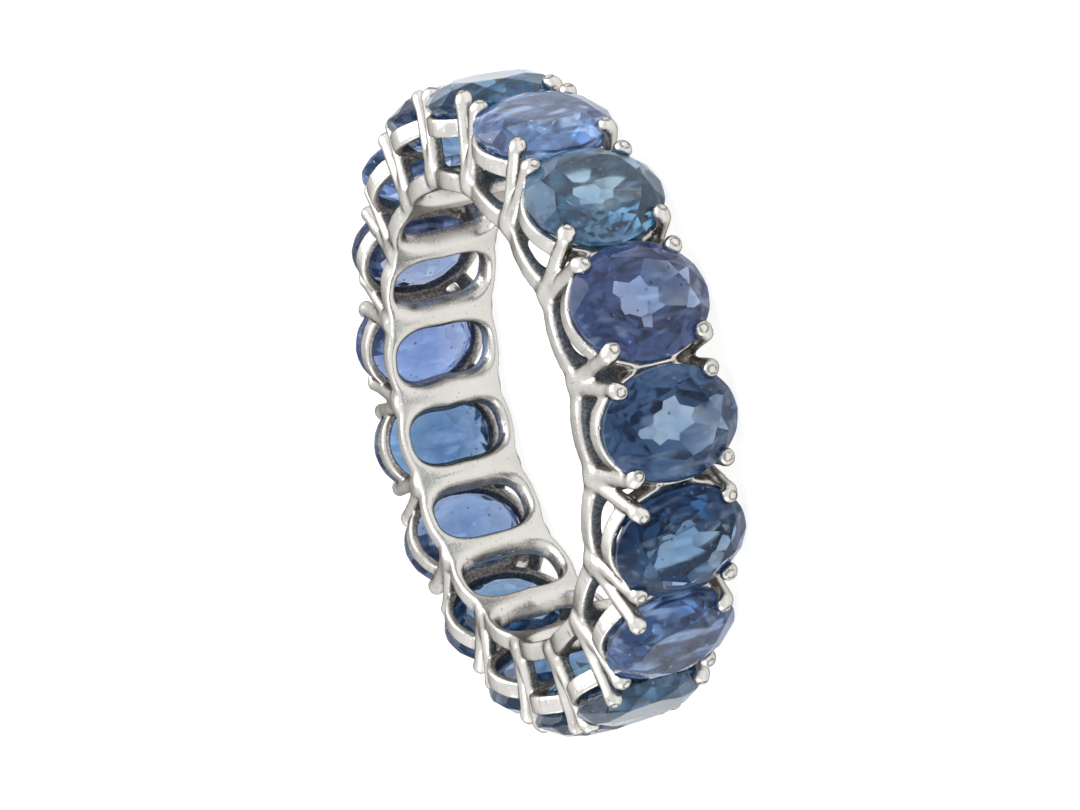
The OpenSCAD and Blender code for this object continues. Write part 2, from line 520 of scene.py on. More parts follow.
    def slopes(self) -> list[np.ndarray]:
        """How fast the distance grows.

        Returns:
            Its growth outwards, round the ring and along the axis.
        """
        turning = (np.roll(self.values, -1, 0) - np.roll(self.values, 1, 0)) / (2 * self.turn_step)
        return [
            np.gradient(self.values, self.out_step, axis=1),
            turning / self.radii[None, :, None],
            np.gradient(self.values, self.up_step, axis=2),
        ]

    def settle(
        self, points: np.ndarray, slopes: list[np.ndarray], passes: int
    ) -> tuple[np.ndarray, np.ndarray]:
        """Moves points onto the metal's skin.

        Args:
            points: Places near the skin.
            slopes: The tables that slopes() made.
            passes: Number of moves.

        Returns:
            The places on the skin and the directions that it faces there.
        """
        for turn in range(passes + 1):
            value, out, way, up = self.read([self.values, *slopes], self.grid_places(points))
            radius = np.hypot(points[:, 0], points[:, 1])
            c, s = points[:, 0] / radius, points[:, 1] / radius
            grade = np.stack([out * c - way * s, out * s + way * c, up], axis=1)
            if turn < passes:
                step = value / np.maximum((grade * grade).sum(1), self.LEAST_GRADE)
                points = points - grade * step[:, None]
        return points, grade / np.maximum(np.linalg.norm(grade, axis=1), TINY)[:, None]

    def skin(self) -> tuple[np.ndarray, np.ndarray]:
        """Draws the skin: a corner in each grid cell that it crosses, a quad round each crossed edge.

        Returns:
            The corners in millimetres, and the quads.
        """
        size = self.values.shape
        inside = self.values < 0
        ahead = np.roll(inside, -1, 0)
        filled = np.zeros((size[0], size[1] - 1, size[2] - 1), np.uint8)
        for layer, j, k in product((inside, ahead), (0, 1), (0, 1)):
            filled += layer[:, j:size[1] - 1 + j, k:size[2] - 1 + k]
        cells = np.argwhere((filled > 0) & (filled < 8))
        numbers = np.full(filled.shape, -1, np.int64)
        numbers[tuple(cells.T)] = np.arange(len(cells))
        corners = [np.array(c) for c in product((0, 1), repeat=3)]
        values = []
        for turn, out, up in corners:
            values.append(self.values[(cells[:, 0] + turn) % size[0], cells[:, 1] + out, cells[:, 2] + up])
        total, crossed = np.zeros((len(cells), 3)), np.zeros(len(cells))
        for a, b in ((a, b) for a in range(8) for b in range(a) if abs(corners[a] - corners[b]).sum() == 1):
            hit = (values[a] < 0) != (values[b] < 0)
            share = values[a][hit] / (values[a][hit] - values[b][hit])
            total[hit] += corners[a] + share[:, None] * (corners[b] - corners[a])
            crossed += hit
        points = self.real_places(cells + total / crossed[:, None])
        quads = []
        for axis in range(3):
            other = [a for a in range(3) if a != axis]
            after = np.roll(inside, -1, axis)
            crossing = inside != after
            crossing[:, [0, -1], :] = crossing[:, :, [0, -1]] = False
            at = np.argwhere(crossing)
            ring = []
            for step in ((0, 0), (-1, 0), (-1, -1), (0, -1)):
                cell = at.copy()
                cell[:, other[0]] += step[0]
                cell[:, other[1]] += step[1]
                ring.append(numbers[cell[:, 0] % size[0], cell[:, 1], cell[:, 2]])
            ring = np.stack(ring, axis=1)
            backward = inside[tuple(at.T)] != (axis == 1)
            ring[backward] = ring[backward][:, ::-1]
            quads.append(ring)
        return points, np.concatenate(quads)


@dataclass
class Setting:
    """The soldered white-gold setting: the inner band, and a rail with four claws under each stone."""

    # openness: how much of the room each place sees, which the white gold turns into painted shade where it
    # is low
    OPENNESS = "openness"
    MARK = "bead_mark"
    sizes: RingSizes
    stones: tuple[StoneCut, ...]
    # The grid, and the mesh that is drawn from it
    grid_step: float = 0.078
    end_inset: float = 0.03
    settling: int = 2
    most_triangles: int = 192000
    # The room for each stone
    seat_gap: float = 0.012
    seat_round: float = 0.03
    # The band's edges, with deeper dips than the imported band's because solder fills them
    edge_round: float = 0.16
    dip_share: float = 1.3
    # The rails, and the polished rim at the top of each, which the painted shade of the hollows leaves light
    rail_round: float = 0.11
    rail_clear: float = 0.02
    rail_reach: float = 0.05
    rim_depth: float = 0.14
    rim_polish_unshaded: float = 0.85
    # The windows, pulled in at the waist by a different share on each side
    window_round: float = 0.26
    window_power: float = 2.7
    window_share: float = 1.05
    window_play: float = 0.03
    window_waists: Pair = (0.02, 0.17)
    waist_reach: float = 0.45
    window_taper: float = 0.3
    # The solder between claws and rail, and between both and the band
    claw_blend: float = 0.12
    root_blend: float = 0.3
    # The claws: the wire at root, knee and bend, where the bend lies, and how far hand work moves each
    wire_shares: Triple = (1.1, 0.98, 1.02)
    bend_rise: float = 0.62
    bend_out: float = 0.86
    claw_play: float = 1.6
    rise_play: Pair = (-0.04, 0.05)
    tip_play: Pair = (-0.02, 0.05)
    bead_shares: Pair = (0.94, 1.06)
    lean: float = 0.6
    lean_shares: Triple = (0.3, 1.0, 1.0)
    mark_play: float = 0.25
    # The unevenness of the beads and of all the cast metal
    unevenness: float = 0.05
    wavers: tuple[Waver, ...] = (
        Waver(amplitude=0.012, shortest=1.1, longest=2.6, count=24, seed=5),
        Waver(amplitude=0.0035, shortest=0.35, longest=0.7, count=32, seed=6),
    )
    seed: int = 17
    rng: np.random.Generator = field(init=False)
    casting: CastingField = field(init=False)
    marks: list[np.ndarray] = field(default_factory=list)

    def __post_init__(self) -> None:
        """Starts the draw of small differences and lays the grid out."""
        self.rng = np.random.default_rng(self.seed)
        outer_r = self.sizes.girdle_r + self.sizes.bead_rise + self.sizes.bead_d / 2 + self.unevenness
        half_h = self.sizes.stone_l / 2 - self.end_inset
        self.casting = CastingField(self.sizes, self.grid_step, outer_r, half_h)

    def add_band(self) -> None:
        """Lays the inner band, with its lobed edges, round the whole grid."""
        s, grid = self.sizes, self.casting
        dip_at, dip = (s.bore_r + s.band_t / 2) * math.tan(s.sector / 2), s.band_dip * self.dip_share
        lobe_r = (dip_at**2 + dip**2) / (2 * dip)
        turns = np.arange(grid.per_sector) * grid.turn_step
        turns = np.where(turns > s.sector / 2, turns - s.sector, turns).astype(np.float32)[:, None, None]
        radius = grid.radii[None, :, None]
        wall = np.abs(radius - s.bore_r - s.band_t / 2) - s.band_t / 2
        edge = np.hypot(radius * np.sin(turns), np.abs(grid.along) + lobe_r - s.band_w / 2) - lobe_r
        one = smooth_overlap(wall, edge, self.edge_round)
        grid.values[:] = np.tile(one, (s.count, 1, 1))

    def rail(self, stone: StoneCut) -> np.ndarray:
        """The flat oval strip that a stone rests over.

        Args:
            stone: The stone.

        Returns:
            Distance to the strip.
        """
        s, grid = self.sizes, self.casting
        half_w, half_l = s.halves(stone)[0] + self.rail_reach, s.stone_l / 2 - self.rail_clear
        middle = s.girdle_r - s.rail_drop - s.rail_h / 2
        flat = np.abs(grid.out - middle) - s.rail_h / 2
        outline = oval_distance(grid.round, grid.along, half_w, half_l)
        strip = np.maximum(outline, -outline - s.rail_h / 2)
        return smooth_overlap(strip, flat, self.rail_round)

    def window(self) -> np.ndarray:
        """The room of one window, slightly waisted where the file went round the bars between windows.

        Returns:
            Distance to the window.
        """
        s, grid, share, play = self.sizes, self.casting, self.window_share, self.window_play
        wide, tall = (size / 2 * share + self.rng.uniform(-play, play) for size in (s.window_w, s.window_l))
        waist = np.where(grid.round > 0, *self.rng.uniform(*self.window_waists, 2))
        wide = wide * (1 - waist * np.exp(-((grid.along / (tall * self.waist_reach)) ** 2)))
        outline = oval_distance(grid.round, grid.along, wide, tall, self.window_power)
        outline = outline + self.window_taper * np.clip(grid.out - s.bore_r, 0, s.band_t)
        return np.maximum(outline, grid.out - s.bore_r - s.band_t - self.edge_round)

    def claw(self, head: int, stone: StoneCut, side: int, end: int) -> np.ndarray:
        """One claw: a wire from the band that bends over the stone's edge and ends in a bead.

        Args:
            head: Number of the stone.
            stone: The stone that it grips.
            side: 1 or -1 for the way round the ring.
            end: 1 or -1 for the way along the finger axis.

        Returns:
            Distance to the claw.
        """
        s = self.sizes
        half_w, half_l = s.halves(stone)
        turn = math.radians(s.claw_at + self.rng.uniform(-self.claw_play, self.claw_play))
        grip = np.array([half_w * math.cos(turn), half_l * math.sin(turn)])
        face = np.array([grip[0] / half_w**2, grip[1] / half_l**2])
        face /= np.linalg.norm(face)
        root_r = s.bore_r + s.claw_d / 2
        root_z = s.band_w / 2 - s.band_dip - s.claw_d / 4
        root = np.array([root_r, root_r * math.tan(s.sector / 2) - s.root_gap / 2, root_z])
        rise = s.bead_rise + self.rng.uniform(*self.rise_play)
        knee = np.array([s.girdle_r - s.girdle_t, *(grip + face * s.claw_out)])
        bend = np.array([s.girdle_r + rise * self.bend_rise, *(grip + face * (s.claw_out * self.bend_out))])
        tip = np.array([s.girdle_r + rise, *(grip + face * self.rng.uniform(*self.tip_play))])
        root_wire, knee_wire, bend_wire = (s.claw_d / 2 * share for share in self.wire_shares)
        bead_r = s.bead_d / 2 * self.rng.uniform(*self.bead_shares)
        lean = self.rng.uniform(-self.unevenness, self.unevenness, 3) * self.lean_shares
        points = (root, knee, bend, tip + lean * self.lean)
        root, knee, bend, tip = (point * (1, side, end) for point in points)
        self.marks.append(self.turned(tip + self.mark_way(bead_r), head))
        leg = self.rod(root, knee, root_wire, knee_wire)
        wire = smooth_union(leg, self.rod(knee, bend, knee_wire, bend_wire), self.claw_blend / 2)
        return smooth_union(wire, self.rod(bend, tip, bend_wire, bead_r), self.claw_blend)

    def mark_way(self, bead_r: float) -> np.ndarray:
        """Way from a bead's middle to the mark that the setter's tool pressed on it."""
        way = np.array([1, *self.rng.uniform(-self.mark_play, self.mark_play, 2)])
        return way / np.linalg.norm(way) * bead_r

    def turned(self, point: np.ndarray, head: int) -> np.ndarray:
        """A head's point, turned to that head's place in the ring.

        Args:
            point: The point, as if the head were the first.
            head: Number of the stone.

        Returns:
            The turned point.
        """
        turn = head * self.sizes.sector
        c, s = math.cos(turn), math.sin(turn)
        return np.array([point[0] * c - point[1] * s, point[0] * s + point[1] * c, point[2]])

    def rod(self, a: np.ndarray, b: np.ndarray, r_a: float, r_b: float) -> np.ndarray:
        """A round rod with round ends.

        Args:
            a: Its first end.
            b: Its second end.
            r_a: Its radius at the first end.
            r_b: Its radius at the second end.

        Returns:
            Distance to the rod.
        """
        grid, axis = self.casting, b - a
        x, y, z = grid.out - a[0], grid.round - a[1], grid.along - a[2]
        share = np.clip((x * axis[0] + y * axis[1] + z * axis[2]) / (axis @ axis), 0, 1)
        away = (x - share * axis[0]) ** 2 + (y - share * axis[1]) ** 2 + (z - share * axis[2]) ** 2
        return np.sqrt(away) - (r_a + share * (r_b - r_a))

    def seat(self, stone: StoneCut) -> np.ndarray:
        """The room that a stone takes: its crown, girdle and the upper part of its pavilion.

        Args:
            stone: The stone.

        Returns:
            Distance to that room.
        """
        s, grid = self.sizes, self.casting
        half_w, half_l = s.halves(stone)
        edge = oval_distance(grid.round, grid.along, half_w, half_l)
        rise = grid.out - s.girdle_r
        width = math.sqrt(half_w * half_l)
        grade = s.crown_h / (1 - stone.table_share) / width
        room = np.maximum((rise - s.girdle_t / 2 + edge * grade) / math.hypot(1, grade), edge)
        for tier in TIERS[stone.pavilion]:
            grade = tier.grade * s.pavilion_h / width
            deep = s.girdle_t / 2 + (tier.outer[1] - (1 - tier.outer[0]) * tier.grade) * s.pavilion_h
            room = np.maximum(room, (-rise - deep + edge * grade) / math.hypot(1, grade))
        return room

    def build(self) -> bpy.types.Object:
        """Casts the whole setting and draws its skin.

        Returns:
            The setting's object, in metres.
        """
        s, grid = self.sizes, self.casting
        self.add_band()
        for number, stone in enumerate(self.stones):
            head = self.rail(stone)
            for side, end in product((1, -1), repeat=2):
                head = smooth_union(head, self.claw(number, stone, side, end), self.claw_blend)
            grid.join(number, head, self.root_blend)
        for number, stone in enumerate(self.stones):
            grid.carve(number, self.window(), self.window_round)
            grid.set_stone(number, self.seat(stone), self.seat_gap, self.seat_round)
        grid.values[:] = np.maximum(grid.values, (s.bore_r - grid.radii)[None, :, None])
        LOG.info("setting: %d grid points filled", grid.part_sheets())
        points, quads = grid.skin()
        LOG.info("setting: %d quads drawn", len(quads))
        return self.finished(points, quads)

    def finished(self, points: np.ndarray, quads: np.ndarray) -> bpy.types.Object:
        """Thins the skin where it is flat, settles it on the metal and gives it its unevenness.

        Args:
            points: The skin's corners in millimetres.
            quads: Its quads.

        Returns:
            The setting's object, in metres.
        """
        grid = self.casting
        slopes = grid.slopes()
        points, _ = grid.settle(points, slopes, self.settling)
        rough = mesh_object("setting_skin", points, quads)
        thin = rough.modifiers.new("thin", "DECIMATE")
        thin.ratio = min(1.0, self.most_triangles / (2 * len(quads)))
        mesh = bpy.data.meshes.new_from_object(rough.evaluated_get(bpy.context.evaluated_depsgraph_get()))
        bpy.data.objects.remove(rough)
        flat = np.zeros(len(mesh.vertices) * 3, np.float32)
        mesh.vertices.foreach_get("co", flat)
        points, faces = grid.settle(flat.reshape(-1, 3).astype(float), slopes, self.settling)
        mark = np.full(len(points), grid.FAR)
        for place in self.marks:
            mark = np.minimum(mark, np.linalg.norm(points - place, axis=1))
        # The rail's rim keeps most of its openness, so the painted shade of the hollows leaves it light
        over_rail = np.hypot(points[:, 0], points[:, 1]) - self.sizes.girdle_r + self.sizes.rail_drop
        rim = over_rail / self.rim_depth + 1
        openness = np.maximum(grid.openness(points, faces), np.clip(rim, 0, 1) * self.rim_polish_unshaded)
        for name, values in ((self.OPENNESS, openness), (self.MARK, mark)):
            mesh.attributes.new(name, "FLOAT", "POINT").data.foreach_set("value", values.astype(np.float32))
        for waver in self.wavers:
            height, grade = waver.at(points)
            points = points + faces * height[:, None]
            faces = faces - grade + faces * (grade * faces).sum(1)[:, None]
            faces /= np.linalg.norm(faces, axis=1)[:, None]
        points[:, 2] += self.sizes.axis_h
        mesh.vertices.foreach_set("co", (points * MM).astype(np.float32).ravel())
        mesh.polygons.foreach_set("use_smooth", [True] * len(mesh.polygons))
        mesh.normals_split_custom_set_from_vertices(faces.astype(np.float32))
        mesh.update()
        mesh.name = "cast_setting"
        return new_object("cast_setting", mesh)


@dataclass
class CutStone:
    """One oval stone: the solid that is left inside the planes of all its facets."""

    number: int
    cut: StoneCut
    sizes: RingSizes
    girdle_sides: int = 64
    mains: int = 8
    star_share: float = 0.8
    hand_turn: float = 0.1
    hand_depth: float = 0.09
    least_edge: float = 2e-3
    planes: list[tuple[Vector, float]] = field(default_factory=list)

    @property
    def name(self) -> str:
        """The stone's name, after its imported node."""
        return f"stone_{self.number + 1:02d}"

    def grind(self, normal: Vector, point: Vector) -> None:
        """Grinds one facet.

        Args:
            normal: Direction that the facet faces.
            point: A point of the facet.
        """
        facing = normal.normalized()
        self.planes.append((facing, facing.dot(point)))

    def facet(self, turn: float, inner: Pair, outer: Pair) -> None:
        """Grinds a sloping facet that faces one way round the stone.

        Args:
            turn: The way that it faces, in radians from the stone's width.
            inner: Its inner end: the share of the way out from the middle, and the height in millimetres.
            outer: The same for its outer end.
        """
        run, rise = outer[0] - inner[0], outer[1] - inner[1]
        up = 1 if rise < 0 else -1
        c, s = math.cos(turn), math.sin(turn)
        facing = Vector((-rise * up * c, -rise * up * s, run * up))
        self.grind(facing, Vector((outer[0] * c, outer[0] * s, outer[1])))

    def girdle(self) -> None:
        """Grinds the narrow wall round the stone."""
        for k in range(self.girdle_sides):
            turn = 2 * math.pi * k / self.girdle_sides
            way = Vector((math.cos(turn), math.sin(turn), 0))
            self.grind(way, way)

    def crown(self) -> None:
        """Grinds the table, the kites, the stars and the facets along the girdle."""
        edge, table = self.sizes.girdle_t / 2, self.cut.table_share
        top = edge + self.sizes.crown_h
        half = math.pi / self.mains
        grade = self.sizes.crown_h / (1 - table)
        star_z = edge + grade * (1 - self.star_share * math.cos(half))
        near, along = math.cos(half / 2), math.cos(half)
        for k in range(self.mains):
            self.facet(2 * k * half, (table, top), (1, edge))
            self.facet((2 * k + 1) * half, (table * along, top), (self.star_share, star_z))
        for k in range(2 * self.mains):
            self.facet((k + 0.5) * half, (self.star_share * near, star_z), (near, edge))
        self.grind(Vector((0, 0, 1)), Vector((0, 0, top)))

    def underside(self) -> None:
        """Grinds the pavilion in the stone's own style."""
        edge, depth = -self.sizes.girdle_t / 2, self.sizes.pavilion_h
        hand = np.random.default_rng(self.number)
        for tier in TIERS[self.cut.pavilion]:
            for k in range(tier.sides):
                turn = 2 * math.pi * (k + tier.shift) / tier.sides
                turn += hand.uniform(-self.hand_turn, self.hand_turn)
                share = hand.uniform(-self.hand_depth, self.hand_depth) * (tier.inner[1] - tier.outer[1])
                inner = (tier.inner[0], edge - depth * tier.inner[1] * (1 + share))
                self.facet(turn, inner, (tier.outer[0], edge - depth * tier.outer[1]))

    def solid(self) -> bmesh.types.BMesh:
        """Finds the solid inside all the planes.

        Each plane is turned into the point that stands for it, and the hull of these points has one
        corner for each facet of the stone and one face for each corner of the stone.

        Returns:
            The stone, one face for each facet.
        """
        stand_in, stone = bmesh.new(), bmesh.new()
        for facing, distance in self.planes:
            stand_in.verts.new(facing / distance)
        bmesh.ops.convex_hull(stand_in, input=stand_in.verts[:])
        stand_in.faces.index_update()
        corners = [
            stone.verts.new(face.normal / face.normal.dot(face.verts[0].co)) for face in stand_in.faces
        ]
        for facet in (vert for vert in stand_in.verts if len(vert.link_faces) > 2):
            ring = [corners[face.index] for face in facet.link_faces]
            middle = sum((corner.co for corner in ring), Vector()) / len(ring)
            side = facet.co.orthogonal().normalized()
            across = facet.co.normalized().cross(side)
            ways = [corner.co - middle for corner in ring]
            turns = {corner: math.atan2(way.dot(across), way.dot(side)) for corner, way in zip(ring, ways)}
            stone.faces.new(sorted(ring, key=turns.get))
        stand_in.free()
        bmesh.ops.remove_doubles(stone, verts=stone.verts, dist=self.least_edge)
        bmesh.ops.recalc_face_normals(stone, faces=stone.faces)
        return stone

    def build(self) -> bpy.types.Object:
        """Cuts the stone and sets it in its head.

        Returns:
            The stone's object, in metres.
        """
        s = self.sizes
        self.girdle()
        self.crown()
        self.underside()
        stone = self.solid()
        half_w, half_l = s.halves(self.cut)
        upright = Matrix(((0, 0, 1, s.girdle_r), (1, 0, 0, 0), (0, 1, 0, 0), (0, 0, 0, 1)))
        turn = Matrix.Rotation(self.number * s.sector, 4, "Z")
        place = turn @ upright @ Matrix.Diagonal((half_w, half_l, 1, 1))
        to_metres = Matrix.Diagonal((MM, MM, MM, 1)) @ Matrix.Translation((0, 0, s.axis_h))
        bmesh.ops.transform(stone, matrix=to_metres @ place, verts=stone.verts)
        bmesh.ops.recalc_face_normals(stone, faces=stone.faces)
        mesh = bpy.data.meshes.new(f"cut_{self.name}")
        stone.to_mesh(mesh)
        stone.free()
        return new_object(f"cut_{self.name}", mesh)


class Grain(NamedTuple):
    """How fine a noise is: its cells to the metre, and how many rounds of finer cells it carries."""

    scale: float
    detail: float


class Nodes:
    """A material's shader and the nodes that feed it."""

    FALL = (1.0, 0.0)

    def __init__(self, name: str) -> None:
        """Starts a material.

        Args:
            name: The material's name.
        """
        self.material = bpy.data.materials.new(name)
        self.material.use_nodes = True
        self.tree = self.material.node_tree
        self.shader = self.tree.nodes["Principled BSDF"]
        self.place = self.add("TexCoord").outputs["Object"]

    def put(self, socket: Socket, value: Value) -> None:
        """Fills a socket.

        Args:
            socket: The socket.
            value: A constant, or the output to link to it.
        """
        if isinstance(value, Socket):
            self.tree.links.new(value, socket)
        else:
            socket.default_value = value

    def fill(self, node: bpy.types.Node, **inputs: Value) -> bpy.types.Node:
        """Fills a node's sockets, named with _ for each space.

        Args:
            node: The node.
            inputs: A constant or an output for each socket.

        Returns:
            The node.
        """
        for name, value in inputs.items():
            self.put(node.inputs[name.replace("_", " ")], value)
        return node

    def feed(self, **inputs: Value) -> None:
        """Fills the shader's own sockets."""
        self.fill(self.shader, **inputs)

    def add(self, kind: str, **inputs: Value) -> bpy.types.Node:
        """Adds a node of one kind and fills its sockets."""
        return self.fill(self.tree.nodes.new(f"ShaderNode{kind}"), **inputs)

    def noise(self, grain: Grain, place: Socket | None = None) -> Socket:
        """Adds a cloud of noise.

        Args:
            grain: How fine it is.
            place: Where it is read, if not at the surface's own place.

        Returns:
            A value from 0 to 1.
        """
        node = self.add("TexNoise", Scale=grain.scale, Detail=grain.detail, Vector=place or self.place)
        return node.outputs["Fac"]

    def specks(self, scale: float) -> tuple[Socket, Socket]:
        """Adds scattered points.

        Args:
            scale: Number of points to the metre.

        Returns:
            Distance to the nearest point, and a number of that point's own.
        """
        node = self.add("TexVoronoi", Scale=scale, Vector=self.place)
        return node.outputs["Distance"], node.outputs["Color"]

    def streaks(self, grain: Grain, stretch: float, turn: float) -> Socket:
        """Adds fine parallel streaks.

        Args:
            grain: How fine they are.
            stretch: Scale along the streaks as a share of the scale across them.
            turn: Way that they run, in radians round each axis.

        Returns:
            A value from 0 to 1.
        """
        way = self.add("Mapping", Rotation=(turn, turn, 0), Scale=(1, 1, stretch), Vector=self.place)
        return self.noise(grain, way.outputs["Vector"])

    def attribute(self, name: str) -> Socket:
        """Reads a value that the mesh carries at each corner.

        Args:
            name: The value's name.

        Returns:
            The value.
        """
        node = self.add("Attribute")
        node.attribute_name = name
        return node.outputs["Fac"]

    def sum(self, operation: str, *values: Value, kind: str = "Math", result: str = "Value") -> Socket:
        """Adds a sum.

        Args:
            operation: Blender's name of the sum.
            values: Its numbers or vectors, in order.
            kind: Math for numbers, VectorMath for vectors.
            result: Name of the output.

        Returns:
            The result.
        """
        node = self.add(kind)
        node.operation = operation
        for socket, value in zip(node.inputs, values):
            self.put(socket, value)
        return node.outputs[result]

    def vector(self, operation: str, *values: Value, result: str = "Vector") -> Socket:
        """Adds a sum with vectors."""
        return self.sum(operation, *values, kind="VectorMath", result=result)

    def product(self, a: Value, b: Value) -> Socket:
        """Adds a product of two numbers."""
        return self.sum("MULTIPLY", a, b)

    def ramp(self, value: Socket, old: Pair, new: Pair = (0.0, 1.0)) -> Socket:
        """Adds a smooth step from one range of values to another.

        Args:
            value: The value.
            old: Its range.
            new: The range that it is brought to.

        Returns:
            The value in its new range.
        """
        node = self.add("MapRange", Value=value)
        node.interpolation_type = "SMOOTHSTEP"
        self.fill(node, From_Min=old[0], From_Max=old[1], To_Min=new[0], To_Max=new[1])
        return node.outputs["Result"]

    def blend(self, share: Socket, low: Socket | Triple, high: Socket | Triple) -> Socket:
        """Adds a blend of two colours.

        Args:
            share: Share of the second colour.
            low: First colour.
            high: Second colour.

        Returns:
            The blend.
        """
        node = self.add("Mix")
        node.data_type = "RGBA"
        self.fill(node, Factor=share)
        sockets = (socket for socket in node.inputs if socket.type == "RGBA")
        for socket, colour in zip(sockets, (low, high)):
            self.put(socket, colour if isinstance(colour, Socket) else (*colour, 1))
        return next(socket for socket in node.outputs if socket.type == "RGBA")

    def bump(self, height: Socket, depth: float, below: Socket | None = None) -> Socket:
        """Adds relief.

        Args:
            height: The relief's height, from 0 to 1.
            depth: Depth from 0 to 1, in millimetres.
            below: Relief that this one lies on.

        Returns:
            The directions that the surface then faces.
        """
        node = self.add("Bump", Distance=depth * MM, Height=height)
        if below:
            self.fill(node, Normal=below)
        return node.outputs["Normal"]


@dataclass(frozen=True)
class WhiteGoldFinish:
    """Polished white gold: filed claws, a mark pressed on each bead, and darker rough skin with painted shade
    in the hollows.

    A pair is a range: where an effect starts and where it is full, or its least and its most.
    """

    colour: Triple = (0.715, 0.692, 0.652)
    shade: Triple = (0.53, 0.51, 0.476)
    edge_tint: Triple = (0.2, 0.19, 0.18)
    polish: Pair = (0.2, 0.32)
    polish_range: Pair = (0.35, 0.65)
    # Colours of the hollows: the rough skin, darkened further as painted shade
    skin_and_shade_colour: Triple = (0.19, 0.178, 0.168)
    shaded_grain_colour: Triple = (0.37, 0.35, 0.33)
    grain_range: Pair = (0.42, 0.62)
    skin_roughness: float = 0.5
    # Openness over which the painted shade and rough skin give way to the polished colour
    skin_and_shade_range: Pair = (0.34, 0.74)
    cloud: Grain = Grain(900.0, 4.0)
    grit: Grain = Grain(9500.0, 3.0)
    grit_share: float = 0.3
    grit_depth: float = 0.008
    file: Grain = Grain(6500.0, 2.0)
    file_radius: float = 0.01
    file_stretch: float = 0.1
    file_depth: float = 0.012
    file_shade: Pair = (0.6, 0.82)
    file_from: Pair = (0.0083, 0.0087)
    mark_out: Pair = (0.09, 0.14)
    mark_in: Pair = (0.17, 0.23)
    mark_broken: Pair = (0.36, 0.5)
    mark_colour: Triple = (0.26, 0.25, 0.24)
    mark_depth: float = 0.02
    pit_scale: float = 3600.0
    pit_range: Pair = (0.05, 0.16)
    pit_depth: float = 0.02

    def file_marks(self, nodes: Nodes) -> Socket:
        """Adds the file's fine lines, which run outwards from the finger axis as the claws do.

        Args:
            nodes: The material.

        Returns:
            Height of the lines.
        """
        flat = nodes.vector("MULTIPLY", nodes.place, (1, 1, 0))
        radius = nodes.vector("LENGTH", flat, result="Value")
        level = nodes.vector("MULTIPLY", nodes.place, (0, 0, 1))
        way = nodes.vector("NORMALIZE", flat)
        spread = nodes.vector("MULTIPLY_ADD", way, (self.file_radius, self.file_radius, 0), level)
        lines = nodes.add("TexNoise", Scale=self.file.scale, Detail=self.file.detail, Vector=spread)
        lines.noise_dimensions = "4D"
        nodes.fill(lines, W=nodes.product(radius, self.file_stretch))
        return nodes.product(lines.outputs["Fac"], nodes.ramp(radius, self.file_from))

    def material(self) -> bpy.types.Material:
        """Makes the material.

        Returns:
            The white gold.
        """
        nodes = Nodes("white_gold")
        nodes.feed(Metallic=1.0, Specular_Tint=(*self.edge_tint, 1))
        cloud, grit, lines = nodes.noise(self.cloud), nodes.noise(self.grit), self.file_marks(nodes)
        # Painted shade: where the metal sees little of the room, its colour falls to the darker rough skin
        # and its roughness rises
        seen = nodes.sum("MULTIPLY_ADD", grit, self.grit_share, nodes.attribute(Setting.OPENNESS))
        bright = nodes.ramp(seen, self.skin_and_shade_range)
        away = nodes.attribute(Setting.MARK)
        mark = nodes.product(nodes.ramp(away, self.mark_out), nodes.ramp(away, self.mark_in, nodes.FALL))
        mark = nodes.product(mark, nodes.ramp(grit, self.mark_broken))
        pits = nodes.ramp(nodes.specks(self.pit_scale)[0], self.pit_range)
        unshaded_unfiled = nodes.product(bright, nodes.ramp(lines, self.file_shade, nodes.FALL))
        tint = nodes.blend(cloud, self.shade, self.colour)
        # The rough skin's colour, darkened as painted shade
        skin = nodes.blend(nodes.ramp(grit, self.grain_range), self.skin_and_shade_colour, self.shaded_grain_colour)
        polish = nodes.ramp(cloud, self.polish_range, self.polish)
        rough = nodes.sum("SUBTRACT", self.skin_roughness, polish)
        nodes.feed(
            Base_Color=nodes.blend(mark, nodes.blend(unshaded_unfiled, skin, tint), self.mark_colour),
            Roughness=nodes.sum("MULTIPLY_ADD", nodes.sum("SUBTRACT", 1.0, bright), rough, polish),
        )
        relief = nodes.bump(nodes.sum("SUBTRACT", 1.0, mark), self.mark_depth)
        relief = nodes.bump(pits, self.pit_depth, relief)
        relief = nodes.bump(lines, self.file_depth, relief)
        nodes.feed(Normal=nodes.bump(grit, self.grit_depth, relief))
        return nodes.material


